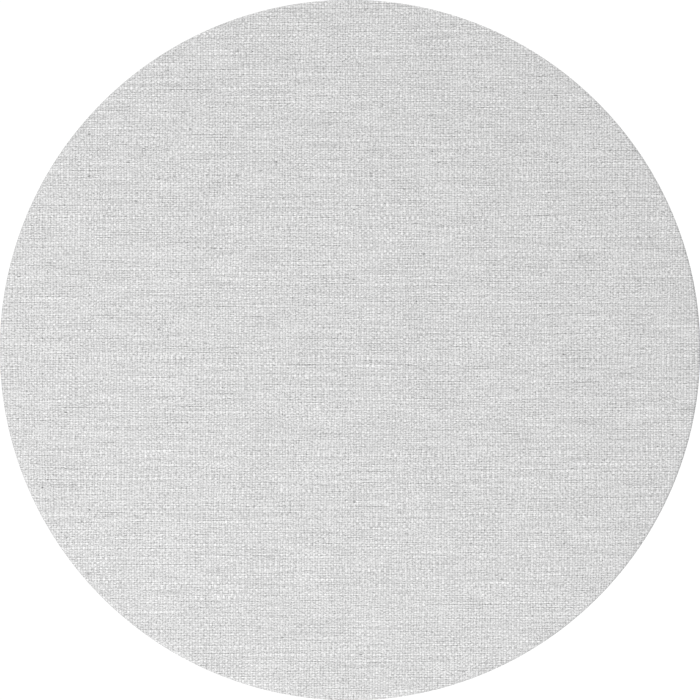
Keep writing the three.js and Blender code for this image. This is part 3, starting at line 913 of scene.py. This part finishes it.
def strap_mesh(name, path, width, thickness, ribs, bumpy, inside):
    """A flat strap swept along a path of (y, z) points, with rounded edges.

    bumpy(u, s) is its relief in metres. inside is the side, 1 or -1, that lies against the strap's own other
    layer. Its relief is sunk, so that the layers only touch.
    """
    path = np.array(path)
    steps = np.linalg.norm(np.diff(path, axis=0), axis=1)
    s = np.concatenate([[0], np.cumsum(steps)])
    normal = sideways(np.gradient(path, axis=0))
    half, t = width / 2, thickness / 2
    across = np.linspace(-half + t, half - t, ribs)
    turn = np.linspace(0.35, math.pi - 0.35, 5)  # angles round each edge
    section = [(u, t, 1) for u in across]
    section += [(half - t + t * math.sin(a), t * math.cos(a), 0) for a in turn]
    section += [(u, -t, -1) for u in across[::-1]]
    section += [(-half + t - t * math.sin(a), -t * math.cos(a), 0) for a in turn]
    pts, uvs = np.zeros((len(path), len(section), 3)), np.zeros((len(path), len(section), 2))
    for k, (u, off, side) in enumerate(section):
        sunk = 0.09 * MM if side == inside else 0.0
        lift = off + side * (bumpy(u, s) - sunk) if side else np.full(len(s), off)
        pts[:, k, 0] = u
        pts[:, k, 1] = path[:, 0] + normal[:, 0] * lift
        pts[:, k, 2] = path[:, 1] + normal[:, 1] * lift
        uvs[:, k, 0] = 1 + u + (0 if side >= 0 else width)
        uvs[:, k, 1] = 1 + s
    return outward(grid_mesh(name, pts, uvs, close_j=True, cap=True))


def walk(points, step):
    """Points about step apart along a run of (y, z) points."""
    points = np.array(points)
    d = np.concatenate([[0], np.cumsum(np.linalg.norm(np.diff(points, axis=0), axis=1))])
    t = np.linspace(0, d[-1], max(2, int(d[-1] / step)))
    return np.stack([np.interp(t, d, points[:, 0]), np.interp(t, d, points[:, 1])], axis=1)


def box_cross(x0, x1, z0, z1, y, pitch=2.6 * MM):
    """Stitches round a rectangle and across both its diagonals."""
    out = Vector((0, 1, 0))
    corners = [(x0, z0), (x1, z0), (x1, z1), (x0, z1), (x0, z0), (x1, z1)]
    runs = list(zip(corners, corners[1:])) + [((x1, z0), (x0, z1))]
    made = []
    for (ax, az), (bx, bz) in runs:
        made += stitch_line([(Vector((ax, y, az)), out), (Vector((bx, y, bz)), out)], pitch)
    return made


def hanging_tab():
    """Webbing that goes up, round the ring's bar and back down, and the stitches through both layers."""
    lo = _tab[0]
    t = 1.12 * MM
    front = lo.y + 0.02 * MM + t / 2
    back = front + t + 0.03 * MM
    r = 1.5 * MM + 0.06 * MM + t / 2
    part_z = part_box("tab_thread")[1].z + 1.5 * MM  # where the two layers part

    def ease(a, b, shares):
        """Points from a to b, level at both ends."""
        return [(a[0] + (b[0] - a[0]) * float(smooth(q)), a[1] + (b[1] - a[1]) * q) for q in shares]

    path = [(front, lo.z), (front, part_z)]
    path += ease((front, part_z), (BAR.y - r, BAR.z), np.linspace(0.1, 1, 8))
    turn = np.linspace(math.pi - 0.15, -0.25, 26)
    path += [(BAR.y + r * math.cos(a), BAR.z + r * math.sin(a)) for a in turn]
    path += ease(path[-1], (back, part_z), np.linspace(0.12, 1, 9))
    path += [(back, lo.z)]
    bottom, top = lo.z + 2.5 * MM, part_z - 2 * MM
    pitch = 1.6 * MM

    def relief(u, s):
        chevron = abs(((u / pitch) % 2) - 1)
        rib = 0.075 * MM * np.sin(2 * math.pi * (s / pitch + 0.5 * chevron))
        groove = -0.05 * MM * math.cos(2 * math.pi * u / pitch)
        return rib + groove - 0.05 * MM

    mesh = strap_mesh("tab_webbing", walk(path, 0.3 * MM), 19.6 * MM, t, 66, relief, inside=1)
    obj = finish_object("tab_webbing", mesh, "webbing")
    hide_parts("hang_tab")
    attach(obj, "spine")
    y = back + t / 2 - 0.02 * MM
    sewn = stitch_mesh("tab_stitches", box_cross(-7.2 * MM, 7.2 * MM, bottom, top, y), 0.24 * MM)
    sewn = finish_object("tab_stitches", sewn, "dark_thread")
    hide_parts("tab_thread")
    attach(sewn, "spine")


def hanging_ring():
    """A D of round wire, swept round its outline and leaning as the ring does at rest."""
    lo, hi = _ring
    wire = 1.5 * MM
    half = (hi.x - lo.x) / 2 - wire
    lean = math.asin(0.1)
    leg, corner = 3.5 * MM, 2.2 * MM
    path = []

    def sweep(cx, cz, r, a0, a1, n):
        for a in np.linspace(a0, a1, n):
            path.append((cx + r * math.cos(math.radians(a)), cz + r * math.sin(math.radians(a))))

    inset = half - corner
    path += [(x, 0.0) for x in np.linspace(-inset, inset, 18)[:-1]]
    sweep(inset, corner, corner, -90, 0, 10)
    sweep(0, leg, half, 0, 180, 48)
    sweep(-inset, corner, corner, 180, 270, 10)
    path = path[:-1]
    pts = np.array(path)
    normal = sideways(np.roll(pts, -1, axis=0) - np.roll(pts, 1, axis=0))
    around = 28
    grid, uvs = np.zeros((len(pts), around, 3)), np.zeros((len(pts), around, 2))
    for i, (x, z) in enumerate(pts):
        # 1 where the wire's ends meet, half way along the bar, and 0 elsewhere
        butt = math.exp(-((x / (0.35 * MM)) ** 2)) if z < 0.5 * MM else 0.0
        r = wire - 0.02 * MM - 0.12 * MM * butt
        for k in range(around):
            a = 2 * math.pi * k / around
            out, off = r * math.cos(a), r * math.sin(a)
            grid[i, k] = (x + normal[i, 0] * out, off, z + normal[i, 1] * out)
            uvs[i, k] = (1 + i / len(pts), k / around)
    mesh = outward(grid_mesh("hanging_ring_wire", grid, uvs, close_i=True, close_j=True))
    mesh.transform(Matrix.Translation(BAR) @ Matrix.Rotation(lean, 4, "X"))
    obj = finish_object("hanging_ring_wire", mesh, "ring_steel")
    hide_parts("hanging_ring")
    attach(obj, "ring")


def keeper():
    """The flattened loop of elastic and the stitches through its root."""
    t = 1.04 * MM
    lo = _loop[0]
    front = lo.y + 0.02 * MM + t / 2
    back = front + t + 0.04 * MM
    top, low = _root[1].z, lo.z + (back - front) / 2 + t / 2
    path = [(front, top), (front, low + 6 * MM), (front - 0.1 * MM, low + 2 * MM)]
    bulb = (back - front) / 2 + 0.25 * MM
    centre = (front + back) / 2
    turn = np.linspace(0, math.pi, 14)
    path += [(centre - bulb * math.cos(a), low - 0.1 * MM - bulb * math.sin(a)) for a in turn]
    path += [(back + 0.1 * MM, low + 2 * MM), (back, low + 6 * MM), (back, top)]
    pitch = 1.25 * MM

    def relief(u, s):
        rib = 0.10 * MM * math.cos(2 * math.pi * u / pitch)
        weft = 0.045 * MM * np.sin(2 * math.pi * s / (2.0 * MM))
        return rib + weft - 0.07 * MM

    mesh = strap_mesh("keeper_elastic", walk(path, 0.5 * MM), 15.7 * MM, t, 76, relief, inside=-1)
    obj = finish_object("keeper_elastic", mesh, "elastic")
    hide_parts("keeper_root", "keeper_loop")
    z = KEEPER_PIVOT.z
    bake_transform(obj, "spine", "keeper", start=(0, 0, z + 1.5 * MM), end=(0, 0, z - 24 * MM))
    y = back + t / 2 - 0.03 * MM
    lo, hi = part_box("keeper_thread")
    sewn = stitch_mesh("keeper_stitches", box_cross(lo.x, hi.x, lo.z, hi.z, y, 2.4 * MM), 0.24 * MM)
    sewn = finish_object("keeper_stitches", sewn, "dark_thread")
    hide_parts("keeper_thread")
    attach(sewn, "spine")


FACE_FLAT = R_OUT - RIM_R + math.pi * RIM_R + (HEM_Y - FRONT_Y - 2 * RIM_R) + (R_OUT - RIM_R - HEM_IN)
hoop_pieces()
clothed("face", face_rings(), "face_cloth", "face_cloth", FACE_FLAT)
clothed("lining", lining_rings(), "lining", "lining", R_LINING)
hem_stitches()
patch_piece()
hanging_tab()
hanging_ring()
keeper()

# the ferrule keeps its CAD mesh, hidden in the hem, with its own finish
_ferrule = frame["nodes"]["ferrule"]
keep_rest(_ferrule.data)
_ferrule.data.materials.clear()
_ferrule.data.materials.append(MATERIALS["ferrule_steel"])

# ---------------------------------------------------------------- stage, light and camera
scene = bpy.context.scene
scene.view_settings.view_transform = "Standard"
scene.view_settings.look = "None"

FLOOR_BELOW, FLOOR_R = 0.30, 1.2  # the floor's depth under the panel and its radius, in metres
WHITE, AMBIENT = 1.05, 0.52  # the ground as the camera sees it, and the soft light that it gives


def floor():
    """A pale round floor that fades out into the white ground."""
    s = Shader("studio_floor")
    where = s.add("ShaderNodeTexCoord").outputs["Object"]
    x, y, _ = s.split(where)
    far = s.math("SQRT", s.plus(s.mul(x, x), s.mul(y, y)))
    grain = s.noise(where, scale=30.0, detail=4.0, dims="3D")
    looks = {"Base Color": s.muladd(grain, 0.02, 0.86), "Roughness": 0.75}
    surface = s.add("ShaderNodeBsdfPrincipled", looks)
    clear = s.add("ShaderNodeBsdfTransparent")
    fade = s.ramp(far, 0.55, 1.15)
    mixed = s.add("ShaderNodeMixShader", {0: fade, 1: surface.outputs[0], 2: clear.outputs[0]})
    s.add("ShaderNodeOutputMaterial", {0: mixed.outputs[0]})
    mesh = bpy.data.meshes.new("studio_floor")
    angles = [2 * math.pi * k / 96 for k in range(96)]
    pts = [(FLOOR_R * math.cos(a), FLOOR_R * math.sin(a), 0) for a in angles]
    mesh.from_pydata(pts, [], [tuple(range(96))])
    mesh.materials.append(s.material)
    obj = bpy.data.objects.new("studio_floor", mesh)
    obj.location = (0, 0, CENTRE_Z - R_OUT - FLOOR_BELOW)
    scene.collection.objects.link(obj)


def world():
    """White ground and even ambient light."""
    w = bpy.data.worlds.new("studio")
    scene.world = w
    w.use_nodes = True
    tree = w.node_tree
    tree.nodes.clear()
    ambient = tree.nodes.new("ShaderNodeBackground")
    ambient.inputs["Strength"].default_value = AMBIENT
    ambient.inputs["Color"].default_value = (1, 1, 1, 1)
    white = tree.nodes.new("ShaderNodeBackground")
    white.inputs["Strength"].default_value = WHITE
    white.inputs["Color"].default_value = (1, 1, 1, 1)
    ray = tree.nodes.new("ShaderNodeLightPath")
    mixed = tree.nodes.new("ShaderNodeMixShader")
    out = tree.nodes.new("ShaderNodeOutputWorld")
    tree.links.new(ray.outputs["Is Camera Ray"], mixed.inputs[0])
    tree.links.new(ambient.outputs[0], mixed.inputs[1])
    tree.links.new(white.outputs[0], mixed.inputs[2])
    tree.links.new(mixed.outputs[0], out.inputs[0])


def area_light(name, at, towards, size, power):
    data = bpy.data.lights.new(name, "AREA")
    data.shape = "DISK"
    data.size = size
    data.energy = power
    obj = bpy.data.objects.new(name, data)
    obj.location = at
    obj.rotation_mode = "QUATERNION"
    obj.rotation_quaternion = (Vector(towards) - Vector(at)).to_track_quat("-Z", "Y")
    scene.collection.objects.link(obj)


MIDDLE = Vector((0, MID_Y, CENTRE_Z))
floor()
world()
area_light("key", MIDDLE + Vector((-1.3, -2.9, -0.55)), MIDDLE, 1.1, 56.0)
area_light("top", MIDDLE + Vector((0.4, 0.3, 2.6)), MIDDLE, 1.6, 26.0)
area_light("back", MIDDLE + Vector((1.9, 2.2, 1.3)), MIDDLE, 1.2, 34.0)

camera_data = bpy.data.cameras.new("camera")
camera = bpy.data.objects.new("camera", camera_data)
DISTANCE = 3.2
FRAME_WIDTH = 2 * R_OUT / 1.0005714  # a hair under the disc's width, so that it just fills the frame
camera_data.sensor_width = 36.0
camera_data.lens = 36.0 * DISTANCE / FRAME_WIDTH
camera.location = MIDDLE + Vector((0, -DISTANCE, 0))
camera.rotation_mode = "QUATERNION"
camera.rotation_quaternion = Vector((0, 1, 0)).to_track_quat("-Z", "Y")
camera_data.clip_start, camera_data.clip_end = 0.05, 60.0
scene.collection.objects.link(camera)
scene.camera = camera
